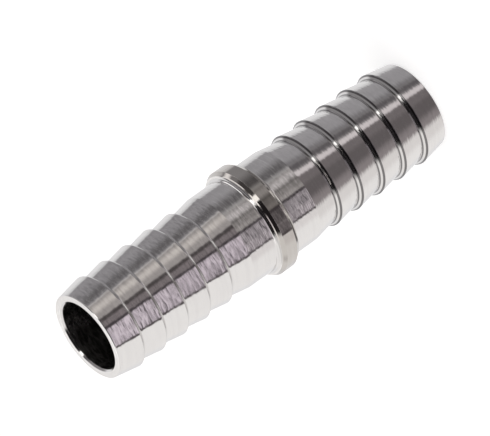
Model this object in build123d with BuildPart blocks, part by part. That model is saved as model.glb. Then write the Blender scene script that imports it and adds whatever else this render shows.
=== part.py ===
from build123d import *
import os

# Straight hose connector, turned in one piece from stainless bar and bored through.
# Its axis is +Z, it stands on its lower end face, and the origin is the middle of that face.
# The two halves are mirror images about the middle of the collar. All sizes are in millimetres.

# The neck and every crest stand at the diameter that is turned first.
barb_diameter = 14.0
barb_height = 0.58
barb_pitch = 3.83
barb_back_length = 0.43
barb_count = 5

neck_length = 4.37
collar_width = 2.9
collar_height = 1.0
# Each edge of the collar is broken by a chamfer that is longer than it is high
collar_chamfer_length = 0.5
collar_chamfer_height = 0.32
collar_foot_radius = 0.5

# From the last crest to the end face, on the same taper as the barbs
tip_length = 3.68
tip_edge_break = 0.08
root_wall = 1.27
bore_mouth_chamfer = 0.25

barb_radius = barb_diameter / 2
collar_radius = barb_radius + collar_height
barb_root = barb_radius - barb_height
bore_radius = barb_root - root_wall
barb_taper = barb_height / (barb_pitch - barb_back_length)
tip_radius = barb_radius - barb_taper * tip_length

collar_face = collar_width / 2
first_shoulder = collar_face + neck_length
last_crest = first_shoulder + barb_count * barb_pitch
half_length = last_crest + tip_length

# The outline of one half, from the middle of the collar outwards, as (radius, distance from the middle)
outline = [
    (0, 0),
    (collar_radius, 0),
    (collar_radius, collar_face - collar_chamfer_length),
    (collar_radius - collar_chamfer_height, collar_face),
    (barb_radius, collar_face),
    (barb_radius, first_shoulder),
]
# Each barb is a long cone that falls to its root, and a short steep back up to the next crest
for barb in range(1, barb_count + 1):
    crest = first_shoulder + barb * barb_pitch
    outline += [(barb_root, crest - barb_back_length), (barb_radius, crest)]
outline += [(tip_radius, half_length), (0, half_length)]

section_plane = Plane(origin=(0, 0, half_length), x_dir=(1, 0, 0), z_dir=(0, -1, 0))
middle_plane = Plane.XY.offset(half_length)


def rings(part, radius, distance):
    """The circular edges of one radius that lie at one distance from the middle of the collar."""
    near = 0.001
    return ShapeList(
        edge
        for edge in part.edges().filter_by(GeomType.CIRCLE)
        if abs(edge.radius - radius) < near
        and abs(abs(edge.arc_center.Z - half_length) - distance) < near
    )


with BuildPart() as hose_connector:
    with BuildSketch(section_plane):
        with BuildLine():
            Polyline(*outline, close=True)
        make_face()
    revolve(axis=Axis.Z)
    mirror(about=middle_plane)

    with Locations((0, 0, half_length)):
        Hole(radius=bore_radius)
    chamfer(rings(hose_connector, bore_radius, half_length), length=bore_mouth_chamfer)

    fillet(rings(hose_connector, barb_radius, collar_face), radius=collar_foot_radius)
    chamfer(rings(hose_connector, tip_radius, half_length), length=tip_edge_break)

hose_connector.part.label = "hose_connector"

os.makedirs("parts", exist_ok=True)
export_step(hose_connector.part, "parts/hose_connector.step")
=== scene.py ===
import logging
import math
from dataclasses import dataclass, field
from enum import Enum

import bmesh
import bpy
from mathutils import Matrix, Vector


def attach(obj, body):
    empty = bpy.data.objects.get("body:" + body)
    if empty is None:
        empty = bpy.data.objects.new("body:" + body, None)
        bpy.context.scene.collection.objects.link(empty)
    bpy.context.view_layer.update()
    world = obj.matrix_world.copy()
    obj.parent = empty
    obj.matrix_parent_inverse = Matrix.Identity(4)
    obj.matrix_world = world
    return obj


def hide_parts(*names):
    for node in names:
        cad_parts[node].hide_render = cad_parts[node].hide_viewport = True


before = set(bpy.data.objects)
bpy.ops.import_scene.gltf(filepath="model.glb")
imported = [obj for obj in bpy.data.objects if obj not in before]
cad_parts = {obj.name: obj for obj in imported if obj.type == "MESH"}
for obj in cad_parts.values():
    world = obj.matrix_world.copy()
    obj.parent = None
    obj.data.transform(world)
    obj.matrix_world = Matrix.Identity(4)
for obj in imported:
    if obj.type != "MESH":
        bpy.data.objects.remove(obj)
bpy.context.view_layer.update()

log = logging.getLogger("hose_connector")

MM = 0.001
Colour = tuple[float, float, float]
Pair = tuple[float, float]
Spot = tuple[float, float, float]


class NodeBench:
    """Adds nodes to one tree, each with its settings, its fixed inputs and its links in a single call."""

    def __init__(self, tree: bpy.types.NodeTree) -> None:
        """Takes the tree to work on and empties it."""
        self.tree = tree
        tree.nodes.clear()

    def add(self, kind: str, settings: dict | None = None, **inputs: object) -> bpy.types.Node:
        """Adds one node.

        Args:
            kind: The node's type name.
            settings: The node's own properties and their values.
            **inputs: A value or an output socket for each input. The name is the input's name with
                underscores for spaces, or in<N> for the input with that number.

        Returns:
            The new node.
        """
        node = self.tree.nodes.new(kind)
        for name, value in (settings or {}).items():
            setattr(node, name, value)
        for name, value in inputs.items():
            socket = self.socket(node, name)
            if isinstance(value, bpy.types.NodeSocket):
                self.tree.links.new(value, socket)
            else:
                socket.default_value = value
        return node

    def socket(self, node: bpy.types.Node, name: str) -> bpy.types.NodeSocket:
        """Finds an input socket.

        Args:
            node: The node that has it.
            name: Its name, as add() takes it.

        Returns:
            The socket.
        """
        if name.startswith("in") and name[2:].isdigit():
            return node.inputs[int(name[2:])]
        return node.inputs[name.replace("_", " ")]

    def math(self, operation: str, *values: object) -> bpy.types.NodeSocket:
        """Adds one Math node and returns its output."""
        inputs = {f"in{number}": value for number, value in enumerate(values)}
        return self.add("ShaderNodeMath", {"operation": operation}, **inputs).outputs[0]

    def ramp(self, value: bpy.types.NodeSocket, low: float, high: float, out_low: float = 0.0,
             out_high: float = 1.0) -> bpy.types.NodeSocket:
        """Maps a value smoothly from one range to another, held at both ends.

        Args:
            value: The value.
            low: Lower end of its range.
            high: Upper end of its range.
            out_low: What low becomes.
            out_high: What high becomes.

        Returns:
            The mapped value.
        """
        node = self.add("ShaderNodeMapRange", {"interpolation_type": "SMOOTHSTEP"}, in0=value, in1=low, in2=high,
                        in3=out_low, in4=out_high)
        return node.outputs[0]

    def window(self, off: bpy.types.NodeSocket, width: float, soft: float) -> bpy.types.NodeSocket:
        """Makes a value that is 1 within half a width of the middle, and 0 past its soft edge."""
        return self.ramp(self.math("ABSOLUTE", off), (width - soft) / 2, (width + soft) / 2, 1.0, 0.0)

    def blend(self, share: object, first: object, second: object) -> bpy.types.NodeSocket:
        """Mixes two colours by a share from 0 to 1 and returns the output."""
        node = self.add("ShaderNodeMix", {"data_type": "RGBA"}, in0=share, in6=rgba(first), in7=rgba(second))
        return node.outputs[2]


def rgba(colour: object) -> object:
    """Gives a colour its alpha, and leaves a socket as it is."""
    return (*colour, 1.0) if isinstance(colour, tuple) and len(colour) == 3 else colour


@dataclass
class Corner:
    """One corner of the turned outline.

    Attributes:
        radius: Distance from the axis, in mm.
        height: Distance from the middle of the collar, in mm.
        rounding: Radius that the tool leaves in the corner, in mm.
        wear: Up to 1, how much handling polishes and roughens it, which also paints a highlight on it. Below 0,
            down to -1, how much painted shade darkens it in a root or at a crest, with some added roughness.
    """

    radius: float
    height: float
    rounding: float = 0.0
    wear: float = 0.0

    @property
    def place(self) -> Vector:
        """Its radius and height as one vector."""
        return Vector((self.radius, self.height))


@dataclass
class Outline:
    """A run of corners with the small roundings that a turning tool leaves.

    Attributes:
        corners: The corners in order.
        arc_step: Largest turn from one point of a rounding to the next, in degrees.
        guard: Distance from a rounding to the point that keeps the flat beside it flat, in mm.
    """

    corners: list[Corner]
    arc_step: float = 11.0
    guard: float = 0.02

    def points(self) -> list[Spot]:
        """Works out the points along the run.

        Returns:
            The radius and height of each point in mm, and its wear.
        """
        found = []
        last = len(self.corners) - 1
        for number, corner in enumerate(self.corners):
            if corner.rounding and 0 < number < last:
                found += self.arc(self.corners[number - 1], corner, self.corners[number + 1])
            else:
                found.append((corner.radius, corner.height, corner.wear))
        return found

    def arc(self, before: Corner, corner: Corner, after: Corner) -> list[Spot]:
        """Rounds one corner.

        Args:
            before: The corner before it.
            corner: The corner.
            after: The corner after it.

        Returns:
            The points of the arc, with a guard point at each end.
        """
        inward = (before.place - corner.place).normalized()
        outward = (after.place - corner.place).normalized()
        turn = math.pi - inward.angle(outward)
        reach = corner.rounding * math.tan(turn / 2)
        bisector = (inward + outward).normalized()
        centre = corner.place + bisector * corner.rounding / math.cos(turn / 2)
        steps = max(2, math.ceil(math.degrees(turn) / self.arc_step))
        start = (corner.place + inward * reach - centre).normalized()
        finish = (corner.place + outward * reach - centre).normalized()
        first = corner.place + inward * (reach + self.guard)
        last = corner.place + outward * (reach + self.guard)
        rounded = [(first.x, first.y, 0.0)]
        for step in range(steps + 1):
            spot = centre + start.slerp(finish, step / steps) * corner.rounding
            # The middle half of the arc has all of the corner's wear and painted light, which fades to nothing at
            # both ends
            share = min(1.0, 2 - 2 * abs(2 * step / steps - 1))
            rounded.append((spot.x, spot.y, corner.wear * share))
        return [*rounded, (last.x, last.y, 0.0)]


@dataclass(frozen=True)
class RingPattern:
    """The pattern of the marks that a turning tool leaves.

    Attributes:
        feed: Mean distance between the marks that show, in mm.
        drift: How fast a mark changes round the axis, as a share of how fast it does across.
        fine_drift: The same for the fine marks.
        fine_count: Number of fine marks to each main one.
        face_count: Number of rings on an end face to each one on an equal length of the outside.
        stain_scale: Scale of the slow variation over the part.
        detail: Levels of detail in the main marks.
        grain: How strong those levels are.
        stain_detail: Levels of detail in the slow variation.
        stain_grain: How strong those levels are.
    """

    feed: float = 0.42
    drift: float = 0.05
    fine_drift: float = 0.3
    fine_count: float = 1.5
    face_count: float = 1.7
    stain_scale: float = 220.0
    detail: float = 1.0
    grain: float = 0.4
    stain_detail: float = 3.0
    stain_grain: float = 0.55

    def build(self, bench: NodeBench) -> tuple[bpy.types.NodeSocket, bpy.types.NodeSocket, bpy.types.NodeSocket]:
        """Makes the pattern's nodes.

        Args:
            bench: The material's tree.

        Returns:
            The main marks, the fine marks between them and the slow variation over the part.
        """
        place = bench.add("ShaderNodeTexCoord").outputs["Object"]
        axes = bench.add("ShaderNodeSeparateXYZ", Vector=place).outputs
        across = bench.add("ShaderNodeCombineXYZ", X=axes[0], Y=axes[1]).outputs[0]
        radius = bench.add("ShaderNodeVectorMath", {"operation": "LENGTH"}, in0=across).outputs["Value"]
        # Rings lie one after another both along the axis and across an end face
        along = bench.math("MULTIPLY_ADD", radius, self.face_count, axes[2])
        count = 1 / (self.feed * MM)
        marks = bench.add("ShaderNodeTexNoise", Vector=self.lay(bench, axes, along, self.drift), Scale=count,
                          Detail=self.detail, Roughness=self.grain)
        fine = bench.add("ShaderNodeTexNoise", Vector=self.lay(bench, axes, along, self.fine_drift),
                         Scale=self.fine_count * count, Detail=0.0)
        stain = bench.add("ShaderNodeTexNoise", Vector=place, Scale=self.stain_scale, Detail=self.stain_detail,
                          Roughness=self.stain_grain)
        return marks.outputs[0], fine.outputs[0], stain.outputs[0]

    def lay(self, bench: NodeBench, axes: bpy.types.NodeOutputs, along: bpy.types.NodeSocket,
            drift: float) -> bpy.types.NodeSocket:
        """Makes the coordinates of marks that run round the axis.

        Args:
            bench: The material's tree.
            axes: The place on the part, as x, y and z.
            along: The place across the rings.
            drift: How fast a mark changes round the axis.

        Returns:
            The coordinates.
        """
        return bench.add("ShaderNodeCombineXYZ", X=bench.math("MULTIPLY", axes[0], drift),
                         Y=bench.math("MULTIPLY", axes[1], drift), Z=along).outputs[0]


@dataclass(frozen=True)
class TurnedFinish:
    """Bare stainless steel as a lathe leaves it: fine rings round the axis, of uneven depth. Worn edges also get a
    painted highlight, and the rings in the roots and at the crests painted shade.

    Attributes:
        name: The material's name.
        colour: The steel's own colour.
        groove: Its colour in the deeper marks.
        roughness: Mean roughness.
        spread: How far the roughness varies from ring to ring.
        anisotropy: How much more the rings scatter light along the axis than round it.
        lay_turn: Turn from the rings to the direction of that scatter, where 1 is a whole turn.
        depth: Depth of the marks, in mm.
        fine_depth: Depth of the fine marks, as a share of that.
        deep: Heights of the marks between which the groove's colour gives way to the steel's.
        deep_share: How much of the groove's colour a deep mark has.
        patches: Levels of the slow variation between which a patch gets darker.
        patch_share: How much of the groove's colour a dark patch has.
        fine: Heights of the fine marks over which the roughness varies.
        haze: Levels of the slow variation over which it adds roughness.
        painted_sheen: How much a painted highlight brightens a worn edge.
        polish_highlight: How much brighter than the steel that painted highlight makes a polished edge.
        brightest: The brightest that the painted highlight makes it.
        rubbed: How much rougher handling leaves a worn edge.
        dulling: How much painted shade darkens the rings in the roots and at the crests.
        painted_shade_tone: Tone of that painted shade, as a share of the groove's colour.
        dull_rough: How much rougher a dull ring is.
        rings: The pattern of the marks.
    """

    name: str
    colour: Colour
    groove: Colour
    roughness: float = 0.10
    spread: float = 0.03
    anisotropy: float = 0.6
    lay_turn: float = 0.25
    depth: float = 0.018
    fine_depth: float = 0.6
    deep: Pair = (0.30, 0.62)
    deep_share: float = 0.1
    patches: Pair = (0.45, 0.75)
    patch_share: float = 0.08
    fine: Pair = (0.3, 0.7)
    haze: Pair = (0.4, 0.8)
    painted_sheen: float = 0.5
    polish_highlight: float = 1.45
    brightest: float = 0.9
    rubbed: float = 0.35
    dulling: float = 0.96
    painted_shade_tone: float = 0.3
    dull_rough: float = 0.03
    rings: RingPattern = RingPattern()

    def material(self) -> bpy.types.Material:
        """Builds the material.

        Returns:
            The material with its node tree.
        """
        steel = bpy.data.materials.new(self.name)
        steel.use_nodes = True
        bench = NodeBench(steel.node_tree)
        marks, fine, stain = self.rings.build(bench)
        # Above 0 the attribute is real wear with a painted highlight; below 0 it is painted shade in the roots and
        # at the crests
        wear = bench.add("ShaderNodeAttribute", {"attribute_name": "wear"}).outputs["Fac"]
        wear_and_sheen = bench.math("MAXIMUM", wear, 0.0)
        dull_and_painted_shade = bench.math("MAXIMUM", bench.math("MULTIPLY", wear, -1.0), 0.0)

        relief = bench.math("ADD", marks, bench.math("MULTIPLY", fine, self.fine_depth))
        bump = bench.add("ShaderNodeBump", Strength=1.0, Distance=self.depth * MM, Height=relief)
        lay = bench.add("ShaderNodeTangent", {"direction_type": "RADIAL", "axis": "Z"})
        shader = bench.add("ShaderNodeBsdfPrincipled", Base_Color=self.tone(bench, marks, stain, wear_and_sheen, dull_and_painted_shade),
                           Metallic=1.0, Roughness=self.rough(bench, fine, stain, wear_and_sheen, dull_and_painted_shade),
                           Anisotropic=self.anisotropy, Anisotropic_Rotation=self.lay_turn,
                           Normal=bump.outputs[0], Tangent=lay.outputs[0])
        bench.add("ShaderNodeOutputMaterial", Surface=shader.outputs[0])
        return steel

    def tone(self, bench: NodeBench, marks: bpy.types.NodeSocket, stain: bpy.types.NodeSocket,
             wear_and_sheen: bpy.types.NodeSocket, dull_and_painted_shade: bpy.types.NodeSocket) -> bpy.types.NodeSocket:
        """Makes the colour.

        Args:
            bench: The material's tree.
            marks: The main marks.
            stain: The slow variation.
            wear_and_sheen: How much handling polishes the place, which brightens it with a painted highlight.
            dull_and_painted_shade: How much painted shade darkens it.

        Returns:
            The colour.
        """
        share = bench.ramp(marks, *self.deep, self.deep_share, 0.0)
        tone = bench.blend(share, self.colour, self.groove)
        tone = bench.blend(bench.ramp(stain, *self.patches, 0.0, self.patch_share), tone, self.groove)
        # Painted highlight: a worn edge gets a brighter colour than the steel
        highlight_colour = tuple(min(self.brightest, channel * self.polish_highlight) for channel in self.colour)
        tone = bench.blend(bench.math("MULTIPLY", wear_and_sheen, self.painted_sheen), tone, highlight_colour)
        # Painted shade: the rings in the roots and at the crests get a darker colour
        dark = tuple(channel * self.painted_shade_tone for channel in self.groove)
        return bench.blend(bench.math("MULTIPLY", dull_and_painted_shade, self.dulling), tone, dark)

    def rough(self, bench: NodeBench, fine: bpy.types.NodeSocket, stain: bpy.types.NodeSocket,
              wear_and_sheen: bpy.types.NodeSocket, dull_and_painted_shade: bpy.types.NodeSocket) -> bpy.types.NodeSocket:
        """Makes the roughness.

        Args:
            bench: The material's tree.
            fine: The fine marks.
            stain: The slow variation.
            wear_and_sheen: How much handling polishes and roughens the place.
            dull_and_painted_shade: How dull the tool leaves it, where it also has painted shade.

        Returns:
            The roughness.
        """
        rough = bench.ramp(fine, *self.fine, self.roughness - self.spread, self.roughness + self.spread)
        rough = bench.math("ADD", rough, bench.ramp(stain, *self.haze, 0.0, self.spread))
        rough = bench.math("MULTIPLY_ADD", wear_and_sheen, self.rubbed, rough)
        return bench.math("MULTIPLY_ADD", dull_and_painted_shade, self.dull_rough, rough)


class Zone(Enum):
    """A zone of the connector with a finish of its own. The value names the finish among the tree's inputs."""

    OUTSIDE = "Steel"
    COLLAR = "Collar Steel"
    BORE = "Bore Steel"


FINISHES = {
    Zone.OUTSIDE: TurnedFinish("bright_turned_steel", (0.80, 0.79, 0.785), (0.62, 0.60, 0.61)),
    # The collar's lip gets the full painted highlight
    Zone.COLLAR: TurnedFinish("collar_turned_steel", (0.60, 0.575, 0.55), (0.45, 0.42, 0.40), roughness=0.075,
                              spread=0.015, anisotropy=0.2, depth=0.0015, painted_sheen=1.0),
    # The bore's darker colour is painted shade inside the bore; its higher roughness is the drilled finish
    Zone.BORE: TurnedFinish("drilled_steel", (0.40, 0.39, 0.38), (0.28, 0.27, 0.26), roughness=0.2, spread=0.05),
}


@dataclass
class Collar:
    """The raised ring in the middle that stops both hoses. All sizes are in mm.

    Attributes:
        radius: Its outer radius.
        half_width: Half its width.
        chamfer_width: How far the chamfer of its edge goes inwards.
        chamfer_length: How far that chamfer goes along the axis.
        lip_width: How far the narrow lip between chamfer and face goes inwards.
        lip_length: How far the lip goes along the axis.
        foot_radius: Radius of the round where the face meets the neck.
        edge_round: Radius of the edge between the outside and the chamfer.
        lip_round: Radius of the lip's edges.
        lip_wear_and_sheen: How much handling polishes the lip, with a painted highlight that brightens it.
    """

    radius: float = 8.0
    half_width: float = 1.44
    chamfer_width: float = 0.33
    chamfer_length: float = 0.43
    lip_width: float = 0.06
    lip_length: float = 0.14
    foot_radius: float = 0.42
    edge_round: float = 0.03
    lip_round: float = 0.02
    lip_wear_and_sheen: float = 0.3

    def corners(self, neck_radius: float) -> list[Corner]:
        """Lists the corners of half the collar, from its middle to the foot of its face.

        Args:
            neck_radius: Radius of the neck that the face falls to.

        Returns:
            The corners in order.
        """
        lip_radius = self.radius - self.chamfer_width
        lip_start = self.half_width - self.lip_length
        return [
            Corner(self.radius, 0.0),
            Corner(self.radius, lip_start - self.chamfer_length, self.edge_round),
            Corner(lip_radius, lip_start, self.lip_round),
            # The lip's outer edge gets a painted highlight
            Corner(lip_radius - self.lip_width, self.half_width, self.lip_round, self.lip_wear_and_sheen),
            Corner(neck_radius, self.half_width, self.foot_radius),
        ]


@dataclass
class BarbedTail:
    """One tail: a plain neck, the barbs that grip the hose, and the end with the bore's mouth. All sizes are in mm.

    Attributes:
        barb_radius: Radius of the crests and of the neck.
        barb_height: Height of a crest over its root.
        barb_pitch: Distance from crest to crest.
        barb_back_length: Length of a barb's steep back along the axis.
        barb_count: Number of barbs.
        neck_length: Length of the neck.
        tip_length: Distance from the last crest to the end face.
        tip_edge_break: Size of the chamfer round the end face.
        root_wall: Thickness of the wall under a root.
        mouth_chamfer: Size of the chamfer at the bore's mouth.
        crest_flat: Half the width of the small flat that breaks a crest.
        shoulder_round: Radius of the edge where the neck ends.
        root_round: Radius in a root.
        mouth_round: Radius of the edges of the end face and the mouth.
        dull_behind: How far the ring of painted shade at a crest goes down the barb's back.
        painted_shade_ahead: How far that ring goes along the next cone.
        painted_shade_fade: Width over which it fades.
        tip_wear_and_sheen: How much handling polishes the outer edge of the end face, with a painted highlight.
        mouth_wear_and_sheen: How much it polishes the mouth's outer edge, with a painted highlight.
        bore_wear_and_sheen: How much it polishes the mouth's inner edge, with a painted highlight.
        bore_places: Where the bore has points, as shares of the way from the middle of the collar to the end face.
    """

    barb_radius: float = 7.0
    barb_height: float = 0.58
    barb_pitch: float = 3.83
    barb_back_length: float = 0.43
    barb_count: int = 5
    neck_length: float = 4.38
    tip_length: float = 3.68
    tip_edge_break: float = 0.08
    root_wall: float = 1.27
    mouth_chamfer: float = 0.25
    crest_flat: float = 0.016
    shoulder_round: float = 0.016
    root_round: float = 0.30
    mouth_round: float = 0.04
    dull_behind: float = 0.25
    painted_shade_ahead: float = 0.04
    painted_shade_fade: float = 0.05
    tip_wear_and_sheen: float = 0.6
    mouth_wear_and_sheen: float = 0.5
    bore_wear_and_sheen: float = 0.2
    bore_places: tuple[float, ...] = (0.66, 0.33, 0.0)

    @property
    def root_radius(self) -> float:
        """Radius at the bottom of a barb."""
        return self.barb_radius - self.barb_height

    @property
    def bore_radius(self) -> float:
        """Radius of the bore."""
        return self.root_radius - self.root_wall

    @property
    def taper(self) -> float:
        """How far a barb's cone falls for each mm along the axis."""
        return self.barb_height / (self.barb_pitch - self.barb_back_length)

    @property
    def half_cone(self) -> float:
        """Distance from a crest to the middle of the cone beside it, where one barb's outline ends."""
        return (self.barb_pitch - self.barb_back_length) / 2

    def cone_middle(self, crest: float) -> Corner:
        """The middle of the cone that starts at a crest, given the crest's height."""
        return Corner(self.barb_radius - self.barb_height / 2, crest + self.half_cone)

    def neck(self, collar: Collar) -> list[Corner]:
        """Lists the corners from the neck's end to the middle of the first cone.

        Args:
            collar: The collar that the neck starts from.

        Returns:
            The corners in order.
        """
        shoulder = collar.half_width + self.neck_length
        return [Corner(self.barb_radius, shoulder, self.shoulder_round), self.cone_middle(shoulder)]

    def barb(self, collar: Collar) -> list[Corner]:
        """Lists the corners of the first barb, from the middle of one cone to the middle of the next.

        Args:
            collar: The collar that the neck starts from.

        Returns:
            The corners in order.
        """
        shoulder = collar.half_width + self.neck_length
        crest = shoulder + self.barb_pitch
        return [
            self.cone_middle(shoulder),
            # Painted shade: a darker, duller ring in the root's rounding and a dark line on both sides of the crest
            Corner(self.root_radius, crest - self.barb_back_length, self.root_round, wear=-1.0),
            self.on_back(crest, self.dull_behind + self.painted_shade_fade, wear=0.0),
            self.on_back(crest, self.dull_behind, wear=-1.0),
            self.on_back(crest, self.crest_flat, wear=-1.0),
            self.on_cone(crest, self.crest_flat, wear=-1.0),
            self.on_cone(crest, self.painted_shade_ahead, wear=-1.0),
            self.on_cone(crest, self.painted_shade_ahead + self.painted_shade_fade, wear=0.0),
            self.cone_middle(crest),
        ]

    def on_back(self, crest: float, distance: float, wear: float) -> Corner:
        """Finds a point on a barb's back.

        Args:
            crest: The crest's height.
            distance: Distance of the point from the crest.
            wear: The finish there.

        Returns:
            The point.
        """
        share = distance / math.hypot(self.barb_height, self.barb_back_length)
        return Corner(self.barb_radius - share * self.barb_height, crest - share * self.barb_back_length, 0.0, wear)

    def on_cone(self, crest: float, distance: float, wear: float) -> Corner:
        """Finds a point on a barb's cone.

        Args:
            crest: The crest's height.
            distance: Distance of the point from the crest, along the axis.
            wear: The finish there.

        Returns:
            The point.
        """
        return Corner(self.barb_radius - self.taper * distance, crest + distance, 0.0, wear)

    def last_crest(self, collar: Collar) -> float:
        """Distance of the last crest from the middle of the collar."""
        return collar.half_width + self.neck_length + self.barb_count * self.barb_pitch

    def half_length(self, collar: Collar) -> float:
        """Distance of the end face from the middle of the collar."""
        return self.last_crest(collar) + self.tip_length

    def mouth(self, collar: Collar) -> list[Corner]:
        """Lists the corners from the middle of the last cone over the end face and down the bore.

        Args:
            collar: The collar that the tail starts from.

        Returns:
            The corners in order.
        """
        end = self.half_length(collar)
        edge = self.barb_radius - self.taper * self.tip_length
        return [
            self.cone_middle(self.last_crest(collar)),
            # The edges of the end face and of the mouth get a painted highlight
            Corner(edge, end - self.tip_edge_break, self.mouth_round, self.tip_wear_and_sheen),
            Corner(edge - self.tip_edge_break, end, self.mouth_round, self.tip_wear_and_sheen),
            Corner(self.bore_radius + self.mouth_chamfer, end, self.mouth_round, self.mouth_wear_and_sheen),
            Corner(self.bore_radius, end - self.mouth_chamfer, self.mouth_round, self.bore_wear_and_sheen),
            *(Corner(self.bore_radius, end * place) for place in self.bore_places),
        ]


@dataclass
class Connector:
    """The whole connector, turned in one piece.

    Attributes:
        collar: The raised ring in its middle.
        tail: One of its two mirrored tails.
        turns: Number of steps round the axis.
        upper_painted_shade: How much painted shade the upper tail's roots and crests get, as a share of the lower
            tail's.
        weld: Largest gap that joining two runs of the outline closes, in mm.
        collar_margin: How far inside the collar's faces its finish stops, in mm.
        bore_margin: How far outside the bore its finish reaches, in mm.
        node: The CAD node that it stands for.
        body: The body that it rides on.
        slot: The record's material slot for its finish; not used.
    """

    collar: Collar = field(default_factory=Collar)
    tail: BarbedTail = field(default_factory=BarbedTail)
    turns: int = 288
    upper_painted_shade: float = 0.15
    weld: float = 0.001
    collar_margin: float = 0.01
    bore_margin: float = 0.02
    node: str = "hose_connector"
    body: str = "root"
    slot: str = "turned_steel"

    def section(self, name: str, runs: list[list[Corner]]) -> bpy.types.Object:
        """Makes an edge-only mesh of one or more runs of the outline, in the plane that the tree spins.

        Args:
            name: The object's name.
            runs: Runs of corners.

        Returns:
            The new object, whose x is the distance from the axis and y the height.
        """
        points = []
        edges = []
        for corners in runs:
            run = Outline(corners).points()
            edges += [(len(points) + step, len(points) + step + 1) for step in range(len(run) - 1)]
            points += run
        mesh = bpy.data.meshes.new(name)
        mesh.from_pydata([(radius * MM, height * MM, 0.0) for radius, height, _ in points], edges, [])
        wear = mesh.attributes.new("wear", "FLOAT", "POINT")
        wear.data.foreach_set("value", [wear_and_sheen for _, _, wear_and_sheen in points])
        section = bpy.data.objects.new(name, mesh)
        bpy.context.scene.collection.objects.link(section)
        return section

    def spin_tree(self) -> bpy.types.GeometryNodeTree:
        """Builds the tree that repeats the barb, mirrors the half outline and spins it about the axis.

        Returns:
            The tree, with its sizes and materials as inputs.
        """
        tree = bpy.data.node_groups.new("turned_body", "GeometryNodeTree")
        tree.interface.new_socket("Geometry", in_out="OUTPUT", socket_type="NodeSocketGeometry")
        sockets = {"Shank": "Geometry", "Barb": "Object", "Barbs": "Int", "Pitch": "Float", "Turns": "Int",
                   "Spin Radius": "Float", "Weld": "Float", "Rise": "Float", "Collar Half Width": "Float",
                   "Bore Limit": "Float", "Upper Dullness": "Float"}
        sockets |= {zone.value: "Material" for zone in Zone}
        for name, kind in sockets.items():
            tree.interface.new_socket(name, in_out="INPUT", socket_type=f"NodeSocket{kind}")
        bench = NodeBench(tree)
        given = bench.add("NodeGroupInput").outputs
        body = self.spin(bench, given, self.whole_outline(bench, given))
        bench.add("NodeGroupOutput", in0=self.zoned(bench, given, body))
        return tree

    def whole_outline(self, bench: NodeBench, given: bpy.types.NodeOutputs) -> bpy.types.NodeSocket:
        """Repeats the barb along the lower half's outline, and mirrors that half, with less painted shade, as the
        upper one.

        Args:
            bench: The tree.
            given: The tree's inputs.

        Returns:
            The outline of both halves.
        """
        step = bench.add("ShaderNodeCombineXYZ", Y=given["Pitch"]).outputs[0]
        places = bench.add("GeometryNodeMeshLine", {"mode": "OFFSET"}, Count=given["Barbs"], Offset=step)
        barb = bench.add("GeometryNodeObjectInfo", Object=given["Barb"]).outputs["Geometry"]
        row = bench.add("GeometryNodeInstanceOnPoints", Points=places.outputs[0], Instance=barb).outputs[0]
        barbs = bench.add("GeometryNodeRealizeInstances", Geometry=row).outputs[0]
        lower = self.join(bench, [given["Shank"], barbs], given["Weld"])
        upper = bench.add("GeometryNodeTransform", Geometry=lower, Scale=(1.0, -1.0, 1.0)).outputs[0]
        # The upper half keeps its painted highlights and only a share of its painted shade
        wear = bench.add("GeometryNodeInputNamedAttribute", {"data_type": "FLOAT"}, Name="wear").outputs[0]
        dull_and_painted_shade = bench.math("MULTIPLY", bench.math("MINIMUM", wear, 0.0), given["Upper Dullness"])
        wear = bench.math("ADD", bench.math("MAXIMUM", wear, 0.0), dull_and_painted_shade)
        upper = bench.add("GeometryNodeStoreNamedAttribute", {"data_type": "FLOAT", "domain": "POINT"},
                          Geometry=upper, Name="wear", Value=wear).outputs[0]
        return self.join(bench, [lower, upper], given["Weld"])

    def spin(self, bench: NodeBench, given: bpy.types.NodeOutputs,
             outline: bpy.types.NodeSocket) -> bpy.types.NodeSocket:
        """Spins the outline about the axis.

        Args:
            bench: The tree.
            given: The tree's inputs.
            outline: The outline of both halves.

        Returns:
            The body, standing on its lower end.
        """
        inward = bench.math("MULTIPLY", given["Spin Radius"], -1.0)
        shift = bench.add("ShaderNodeCombineXYZ", X=inward).outputs[0]
        outline = bench.add("GeometryNodeTransform", Geometry=outline, Translation=shift).outputs[0]
        profile = bench.add("GeometryNodeMeshToCurve", Mesh=outline).outputs[0]
        circle = bench.add("GeometryNodeCurvePrimitiveCircle", Resolution=given["Turns"],
                           Radius=given["Spin Radius"]).outputs[0]
        upright = bench.add("GeometryNodeSetCurveNormal", {"mode": "Z_UP"}, Curve=circle).outputs[0]
        body = bench.add("GeometryNodeCurveToMesh", Curve=upright, Profile_Curve=profile).outputs[0]
        lift = bench.add("ShaderNodeCombineXYZ", Z=given["Rise"]).outputs[0]
        return bench.add("GeometryNodeTransform", Geometry=body, Translation=lift).outputs[0]

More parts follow.
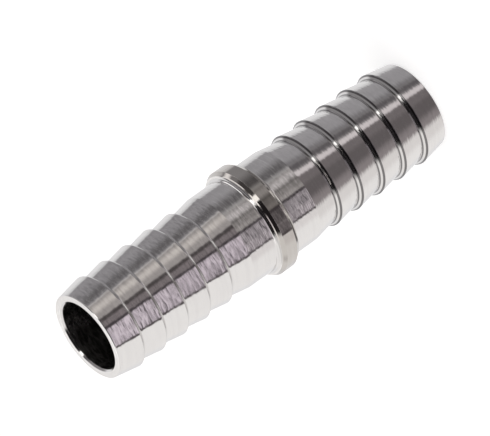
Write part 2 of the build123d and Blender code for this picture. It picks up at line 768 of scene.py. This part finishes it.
    def zoned(self, bench: NodeBench, given: bpy.types.NodeOutputs,
              body: bpy.types.NodeSocket) -> bpy.types.NodeSocket:
        """Gives each zone of the body its finish.

        Args:
            bench: The tree.
            given: The tree's inputs.
            body: The body.

        Returns:
            The finished body.
        """
        body = bench.add("GeometryNodeSetShadeSmooth", Geometry=body, Shade_Smooth=True).outputs[0]
        body = bench.add("GeometryNodeRealizeInstances", Geometry=body).outputs[0]
        place = bench.add("ShaderNodeSeparateXYZ", Vector=bench.add("GeometryNodeInputPosition").outputs[0]).outputs
        off_middle = bench.math("ABSOLUTE", bench.math("SUBTRACT", place[2], given["Rise"]))
        flat = bench.add("ShaderNodeCombineXYZ", X=place[0], Y=place[1]).outputs[0]
        radius = bench.add("ShaderNodeVectorMath", {"operation": "LENGTH"}, in0=flat).outputs["Value"]
        regions = {
            Zone.OUTSIDE: True,
            Zone.COLLAR: bench.math("LESS_THAN", off_middle, given["Collar Half Width"]),
            Zone.BORE: bench.math("LESS_THAN", radius, given["Bore Limit"]),
        }
        for zone, region in regions.items():
            body = bench.add("GeometryNodeSetMaterial", Geometry=body, Selection=region,
                             Material=given[zone.value]).outputs[0]
        return body

    def join(self, bench: NodeBench, parts: list[bpy.types.NodeSocket],
             distance: bpy.types.NodeSocket) -> bpy.types.NodeSocket:
        """Joins runs of the outline end to end.

        Args:
            bench: The tree.
            parts: The runs.
            distance: How near two ends have to be.

        Returns:
            The joined outline.
        """
        joined = bench.add("GeometryNodeJoinGeometry")
        for part in parts:
            bench.tree.links.new(part, joined.inputs[0])
        return bench.add("GeometryNodeMergeByDistance", Geometry=joined.outputs[0], Distance=distance).outputs[0]

    def build(self) -> bpy.types.Object:
        """Makes the connector's mesh from its outline.

        Returns:
            The piece, a plain mesh in the CAD model's frame.
        """
        shank = self.section("shank", [self.collar.corners(self.tail.barb_radius) + self.tail.neck(self.collar),
                                       self.tail.mouth(self.collar)])
        barb = self.section("barb", [self.tail.barb(self.collar)])
        tree = self.spin_tree()
        spin = shank.modifiers.new("turned_body", "NODES")
        spin.node_group = tree
        inputs = {
            "Barb": barb,
            "Barbs": self.tail.barb_count,
            "Pitch": self.tail.barb_pitch * MM,
            "Turns": self.turns,
            "Spin Radius": self.tail.root_radius * MM,
            "Weld": self.weld * MM,
            "Rise": self.tail.half_length(self.collar) * MM,
            "Collar Half Width": (self.collar.half_width - self.collar_margin) * MM,
            "Bore Limit": (self.tail.bore_radius + self.bore_margin) * MM,
            "Upper Dullness": self.upper_painted_shade,
        }
        inputs |= {zone.value: FINISHES[zone].material() for zone in Zone}
        for item in tree.interface.items_tree:
            if item.name in inputs:
                spin[item.identifier] = inputs[item.name]
        depsgraph = bpy.context.evaluated_depsgraph_get()
        mesh = bpy.data.meshes.new_from_object(shank.evaluated_get(depsgraph))
        shank.modifiers.remove(spin)
        for scratch in (shank, barb):
            bpy.data.objects.remove(scratch)
        turn_outwards(mesh)
        mesh.name = "turned_connector"
        piece = bpy.data.objects.new("turned_connector", mesh)
        bpy.context.scene.collection.objects.link(piece)
        return piece

    def dress(self, piece: bpy.types.Object) -> None:
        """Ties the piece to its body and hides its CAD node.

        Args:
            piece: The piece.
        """
        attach(piece, self.body)
        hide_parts(self.node)


def turn_outwards(mesh: bpy.types.Mesh) -> None:
    """Makes every face of a closed mesh point outwards.

    Args:
        mesh: The mesh.
    """
    shell = bmesh.new()
    shell.from_mesh(mesh)
    bmesh.ops.recalc_face_normals(shell, faces=shell.faces)
    if shell.calc_volume(signed=True) < 0:
        bmesh.ops.reverse_faces(shell, faces=shell.faces)
    shell.to_mesh(mesh)
    shell.free()


@dataclass(frozen=True)
class Gaze:
    """The direction that a ray leaves in, as sockets of the room's tree.

    Attributes:
        facing: Direction round the axis in degrees, from the camera's side towards -X.
        tilt: Direction above the horizon in degrees.
        aside: Share of the direction towards -X.
        ahead: Share of the direction towards the camera's side.
    """

    facing: bpy.types.NodeSocket
    tilt: bpy.types.NodeSocket
    aside: bpy.types.NodeSocket
    ahead: bpy.types.NodeSocket


@dataclass(frozen=True)
class WallCard:
    """One soft-edged card that stands round the connector.

    Attributes:
        facing: Direction of its middle in degrees, from the camera's side towards -X.
        width: Its width in degrees.
        low: Its lower edge in degrees above the horizon.
        high: Its upper edge in degrees above the horizon.
        tone: Its colour.
        soft: Width of its soft upright edges in degrees.
        soft_ends: Width of its soft upper and lower edges in degrees.
        slats: How much the slats across it darken and brighten it, from 0 to 1.
        slat_pitch: Distance from slat to slat in degrees.
        slat_middle: Height of the middle of one dark slat in degrees.
    """

    facing: float
    width: float
    low: float
    high: float
    tone: Colour
    soft: float = 4.0
    soft_ends: float = 8.0
    slats: float = 0.0
    slat_pitch: float = 8.0
    slat_middle: float = -24.0

    def colour(self, bench: NodeBench, gaze: Gaze) -> bpy.types.NodeSocket | Colour:
        """Gives its colour, with the slats across it where it has them.

        Args:
            bench: The room's tree.
            gaze: Where the ray goes.

        Returns:
            The colour.
        """
        if not self.slats:
            return self.tone
        above = bench.math("SUBTRACT", gaze.tilt, self.slat_middle)
        wave = bench.math("COSINE", bench.math("MULTIPLY", above, 2 * math.pi / self.slat_pitch))
        dark = tuple(channel * (1 - self.slats) for channel in self.tone)
        light = tuple(channel * (1 + self.slats) for channel in self.tone)
        return bench.blend(bench.math("MULTIPLY_ADD", wave, 0.5, 0.5), light, dark)

    def mask(self, bench: NodeBench, gaze: Gaze) -> bpy.types.NodeSocket:
        """Makes a value that is 1 on the card and 0 away from it.

        Args:
            bench: The room's tree.
            gaze: Where the ray goes.

        Returns:
            The value.
        """
        aside = bench.math("WRAP", bench.math("SUBTRACT", gaze.facing, self.facing), 180.0, -180.0)
        above = bench.math("SUBTRACT", gaze.tilt, (self.low + self.high) / 2)
        return bench.math("MULTIPLY", bench.window(aside, self.width, self.soft),
                          bench.window(above, self.high - self.low, self.soft_ends))


@dataclass(frozen=True)
class CeilingCard:
    """One soft-edged card of the domed ceiling, placed on the plan of the dome, whose radius is 1.

    Attributes:
        bearing: Direction of its long side in degrees, from the camera's side towards -X.
        aside: Distance of its middle from the top of the dome, square to its long side.
        width: Its width.
        back: Where it starts along its bearing.
        front: Where it ends along its bearing.
        tone: Its colour.
        soft: Width of its soft edges.
        rise: Heights in degrees between which the ceiling begins.
    """

    bearing: float
    aside: float
    width: float
    back: float
    front: float
    tone: Colour
    soft: float = 0.06
    rise: Pair = (14.0, 26.0)

    def colour(self, bench: NodeBench, gaze: Gaze) -> Colour:
        """Gives its colour."""
        return self.tone

    def mask(self, bench: NodeBench, gaze: Gaze) -> bpy.types.NodeSocket:
        """Makes a value that is 1 on the card and 0 away from it.

        Args:
            bench: The room's tree.
            gaze: Where the ray goes.

        Returns:
            The value.
        """
        turn = math.radians(self.bearing)
        across = bench.math("SUBTRACT", bench.math("MULTIPLY", gaze.aside, math.cos(turn)),
                            bench.math("MULTIPLY", gaze.ahead, math.sin(turn)))
        along = bench.math("ADD", bench.math("MULTIPLY", gaze.aside, math.sin(turn)),
                           bench.math("MULTIPLY", gaze.ahead, math.cos(turn)))
        sides = bench.window(bench.math("SUBTRACT", across, self.aside), self.width, self.soft)
        ends = bench.window(bench.math("SUBTRACT", along, (self.back + self.front) / 2),
                            self.front - self.back, self.soft)
        above = bench.ramp(gaze.tilt, *self.rise)
        return bench.math("MULTIPLY", bench.math("MULTIPLY", sides, ends), above)


CARDS: list[WallCard | CeilingCard] = [
    # The pale wall behind the connector, the pale ends of the side walls, and the ground at its foot darkened as
    # painted shadow of the connector
    WallCard(180.0, 76.0, -50.0, 20.0, (0.85, 0.845, 0.85), soft=20.0),
    WallCard(-143.0, 44.0, -62.0, 60.0, (0.84, 0.835, 0.84), soft=16.0),
    WallCard(-129.0, 12.0, -62.0, 60.0, (0.70, 0.695, 0.70), soft=12.0),
    WallCard(71.0, 22.0, -62.0, -17.0, (0.83, 0.795, 0.785), soft=16.0),
    WallCard(80.0, 44.0, -62.0, -31.0, (0.82, 0.79, 0.775), soft=24.0),
    # Painted shadow of the connector on the ground behind it
    WallCard(180.0, 120.0, -90.0, -45.0, (0.17, 0.16, 0.16), soft=20.0, soft_ends=6.0),
    # The grey wall to the left of the camera, darker towards the camera
    WallCard(-91.0, 68.0, -62.0, 95.0, (0.35, 0.34, 0.35), soft=9.0, slats=0.12),
    WallCard(-91.0, 68.0, -17.0, 10.0, (0.275, 0.265, 0.275), soft=9.0, slats=0.25),
    WallCard(-69.0, 20.0, -17.0, 10.0, (0.15, 0.142, 0.146), soft=20.0, slats=0.2),
    WallCard(-60.0, 34.0, -31.0, -17.0, (0.15, 0.142, 0.145), soft=30.0, slats=0.3),
    WallCard(-47.0, 34.0, -60.0, -31.0, (0.125, 0.115, 0.12), soft=30.0),
    # The tan wall beside the camera, with a bright strip
    WallCard(-34.0, 42.0, -17.0, 20.0, (0.36, 0.335, 0.325), soft=8.0, slats=0.15),
    WallCard(-39.0, 14.0, -17.0, 20.0, (0.60, 0.56, 0.53), soft=12.0, slats=0.15),
    WallCard(-16.0, 58.0, -31.0, -17.0, (0.265, 0.246, 0.239), soft=10.0, slats=0.36),
    WallCard(-20.0, 8.0, -31.0, -17.0, (0.17, 0.158, 0.153), soft=6.0, slats=0.3),
    WallCard(-32.0, 16.0, -31.0, -17.0, (0.54, 0.51, 0.505), soft=14.0, slats=0.4),
    WallCard(0.0, 8.0, -31.0, -17.0, (0.36, 0.335, 0.325), soft=8.0, slats=0.4),
    # The dark front below the camera with a bright strip, the brown panel over it, and the grey ground under it
    WallCard(13.0, 98.0, -60.0, -31.0, (0.18, 0.16, 0.163), soft=14.0),
    WallCard(20.0, 34.0, -60.0, -31.0, (0.135, 0.12, 0.122), soft=16.0),
    WallCard(56.0, 22.0, -60.0, -31.0, (0.28, 0.25, 0.253), soft=20.0),
    WallCard(-28.0, 14.0, -60.0, -31.0, (0.70, 0.65, 0.655), soft=7.0),
    WallCard(-2.5, 27.0, -17.0, 6.0, (0.195, 0.170, 0.175), soft=5.0, slats=0.3),
    WallCard(-12.0, 8.0, -17.0, 10.0, (0.08, 0.07, 0.07), soft=5.0),
    WallCard(34.0, 50.0, -84.0, -58.0, (0.34, 0.32, 0.31), soft=24.0),
    WallCard(-62.0, 60.0, -84.0, -58.0, (0.36, 0.345, 0.35), soft=24.0),
    # The mauve screen to the right of the camera, with a thin dark gap at each side
    WallCard(34.5, 50.0, -17.0, 24.0, (0.445, 0.395, 0.432), soft=5.0, slats=0.88),
    WallCard(23.0, 28.0, -31.0, -17.0, (0.335, 0.303, 0.32), soft=3.0, slats=0.8),
    WallCard(48.0, 24.0, -31.0, -17.0, (0.43, 0.387, 0.408), soft=4.0, slats=0.72),
    WallCard(8.0, 6.0, -31.0, 14.0, (0.07, 0.06, 0.065), soft=4.0),
    WallCard(59.0, 5.0, -31.0, 14.0, (0.11, 0.095, 0.10), soft=2.5),
    # The ceiling: grey to the left, dark over the camera, white to the right, and two strip lamps
    CeilingCard(-18.0, -0.85, 1.13, -0.50, 1.1, (0.26, 0.25, 0.255), soft=0.16),
    CeilingCard(-18.0, 0.42, 1.40, -0.80, 1.1, (0.018, 0.016, 0.017)),
    CeilingCard(-18.0, -0.85, 1.13, 0.30, 1.1, (0.07, 0.065, 0.065), soft=0.16),
    CeilingCard(23.0, 0.974, 1.00, -1.1, 1.1, (0.93, 0.91, 0.89), soft=0.18),
    CeilingCard(-18.0, -0.24, 0.09, -0.86, 1.1, (1.6, 1.57, 1.53), soft=0.04),
    CeilingCard(-18.0, -0.17, 0.12, 0.27, 0.76, (1.6, 1.57, 1.53), soft=0.05),
    # Between the walls and the ceiling: a dark gap in front and pale ledges beside it
    WallCard(-88.0, 60.0, 1.0, 25.0, (1.15, 1.12, 1.12), soft=8.0, soft_ends=4.0),
    WallCard(-53.0, 12.0, 17.0, 31.0, (0.12, 0.11, 0.11), soft=6.0, soft_ends=4.0),
    WallCard(26.0, 30.0, 17.0, 30.0, (0.80, 0.74, 0.76), soft=12.0, soft_ends=4.0),
    WallCard(58.0, 40.0, 16.0, 30.0, (1.30, 1.26, 1.23), soft=20.0, soft_ends=4.0),
    WallCard(-28.0, 30.0, 17.0, 31.0, (1.5, 1.47, 1.44), soft=8.0, soft_ends=4.0),
    WallCard(0.0, 14.0, 8.0, 31.0, (0.018, 0.016, 0.017), soft=10.0, soft_ends=5.0),
]


@dataclass
class Studio:
    """A plain pale floor, one large soft lamp and a pale room with soft cards round the connector.

    Attributes:
        floor_radius: Radius of the floor in metres.
        floor_sides: Number of its sides.
        floor_colour: Colour of the floor.
        floor_roughness: Roughness of the floor.
        floor_gloss: Specular level of the floor.
        floor_glow: Share of white that the camera sees in the floor before any light.
        lamp_power: Power of the lamp in watts.
        lamp_size: Side of the lamp in metres.
        lamp_place: Where the lamp stands, in metres.
        room: Colour of the room.
    """

    floor_radius: float = 6.0
    floor_sides: int = 96
    floor_colour: Colour = (0.86, 0.86, 0.86)
    floor_roughness: float = 0.9
    floor_gloss: float = 0.1
    floor_glow: float = 0.5
    lamp_power: float = 4.0
    lamp_size: float = 1.0
    lamp_place: Spot = (-0.1, -0.25, 1.1)
    room: Colour = (0.95, 0.93, 0.915)

    def build(self) -> None:
        """Makes the floor, the lamp and the room."""
        self.floor()
        self.lamp()
        self.world()

    def floor(self) -> None:
        """Makes the floor, which shows the connector's shadow and isn't seen in the steel."""
        disc = bmesh.new()
        bmesh.ops.create_circle(disc, cap_ends=True, segments=self.floor_sides, radius=self.floor_radius)
        mesh = bpy.data.meshes.new("floor")
        disc.to_mesh(mesh)
        disc.free()
        plain = bpy.data.materials.new("pale_floor")
        plain.use_nodes = True
        bench = NodeBench(plain.node_tree)
        seen = bench.add("ShaderNodeLightPath").outputs["Is Camera Ray"]
        matt = bench.add("ShaderNodeBsdfPrincipled", Base_Color=rgba(self.floor_colour),
                         Roughness=self.floor_roughness, Specular_IOR_Level=self.floor_gloss,
                         Emission_Color=(1.0, 1.0, 1.0, 1.0),
                         Emission_Strength=bench.math("MULTIPLY", seen, self.floor_glow))
        bench.add("ShaderNodeOutputMaterial", Surface=matt.outputs[0])
        mesh.materials.append(plain)
        floor = bpy.data.objects.new("floor", mesh)
        floor.visible_glossy = False
        bpy.context.scene.collection.objects.link(floor)

    def lamp(self) -> None:
        """Hangs the soft lamp, aimed at the connector."""
        light = bpy.data.lights.new("soft_lamp", "AREA")
        light.size = self.lamp_size
        light.energy = self.lamp_power
        lamp = bpy.data.objects.new("soft_lamp", light)
        lamp.location = self.lamp_place
        lamp.rotation_euler = (-Vector(self.lamp_place)).to_track_quat("-Z", "Y").to_euler()
        lamp.visible_glossy = False
        lamp.visible_camera = False
        bpy.context.scene.collection.objects.link(lamp)

    def world(self) -> None:
        """Makes the room: white to the camera, and pale with its cards to everything else."""
        room = bpy.data.worlds.new("studio_room")
        bpy.context.scene.world = room
        room.use_nodes = True
        bench = NodeBench(room.node_tree)
        way = bench.add("ShaderNodeTexCoord").outputs["Generated"]
        axes = bench.add("ShaderNodeSeparateXYZ", Vector=way)
        aside = bench.math("MULTIPLY", axes.outputs[0], -1.0)
        ahead = bench.math("MULTIPLY", axes.outputs[1], -1.0)
        facing = bench.math("DEGREES", bench.math("ARCTAN2", aside, ahead))
        tilt = bench.math("DEGREES", bench.math("ARCSINE", axes.outputs[2]))
        gaze = Gaze(facing, tilt, aside, ahead)
        colour = rgba(self.room)
        for card in CARDS:
            colour = bench.blend(card.mask(bench, gaze), colour, card.colour(bench, gaze))
        seen = bench.add("ShaderNodeLightPath").outputs["Is Camera Ray"]
        colour = bench.blend(seen, colour, (1.0, 1.0, 1.0))
        sky = bench.add("ShaderNodeBackground", Color=colour, Strength=1.0)
        bench.add("ShaderNodeOutputWorld", Surface=sky.outputs[0])


@dataclass
class PhotoCamera:
    """The camera, placed as the photograph was taken.

    Attributes:
        elevation: Its height above the horizon in degrees.
        distance: Distance from the connector's middle in metres.
        roll_along: Direction from the upper end to the lower one in the picture, right and up, as a unit pair.
        pixels_per_metre: Scale of the picture at the connector's middle.
        picture_width: Width of the picture in pixels.
        off_centre: Pixels from the picture's middle to the connector's middle, right and down.
        focal_pixels: Focal length in pixels.
        sensor: Width of the sensor in mm.
    """

    elevation: float = 24.163
    distance: float = 1.16105
    roll_along: Pair = (0.81439, 0.58032)
    pixels_per_metre: float = 7636.5
    picture_width: float = 490.0
    off_centre: Pair = (6.695, 1.948)
    focal_pixels: float = 8866.3
    sensor: float = 36.0

    def build(self, middle: Vector) -> None:
        """Makes the camera and gives it to the scene.

        Args:
            middle: The middle of the connector.
        """
        rise = math.radians(self.elevation)
        back = Vector((0.0, -math.cos(rise), math.sin(rise)))
        over = Vector((0.0, math.sin(rise), math.cos(rise)))
        side = Vector((1.0, 0.0, 0.0))
        right = -self.roll_along[0] * over - self.roll_along[1] * side
        up = -self.roll_along[1] * over + self.roll_along[0] * side
        place = middle + back * self.distance
        place -= right * self.off_centre[0] / self.pixels_per_metre
        place += up * self.off_centre[1] / self.pixels_per_metre
        lens = bpy.data.cameras.new("photo_camera")
        lens.sensor_width = self.sensor
        lens.lens = self.focal_pixels / self.picture_width * self.sensor
        camera = bpy.data.objects.new("photo_camera", lens)
        turn = Matrix((right, up, back)).transposed().to_4x4()
        camera.matrix_world = Matrix.Translation(place) @ turn
        bpy.context.scene.collection.objects.link(camera)
        bpy.context.scene.camera = camera


def main() -> None:
    """Builds the connector, the studio and the camera in order."""
    logging.basicConfig(level=logging.INFO, format="%(name)s: %(message)s")
    bpy.context.scene.view_settings.view_transform = "Standard"
    connector = Connector()
    piece = connector.build()
    connector.dress(piece)
    log.info("%s: %d faces", piece.name, len(piece.data.polygons))
    Studio().build()
    log.info("studio: floor, lamp and %d cards", len(CARDS))
    half = connector.tail.half_length(connector.collar) * MM
    PhotoCamera().build(Vector((0.0, 0.0, half)))
    log.info("camera in place")


if __name__ == "__main__":
    main()
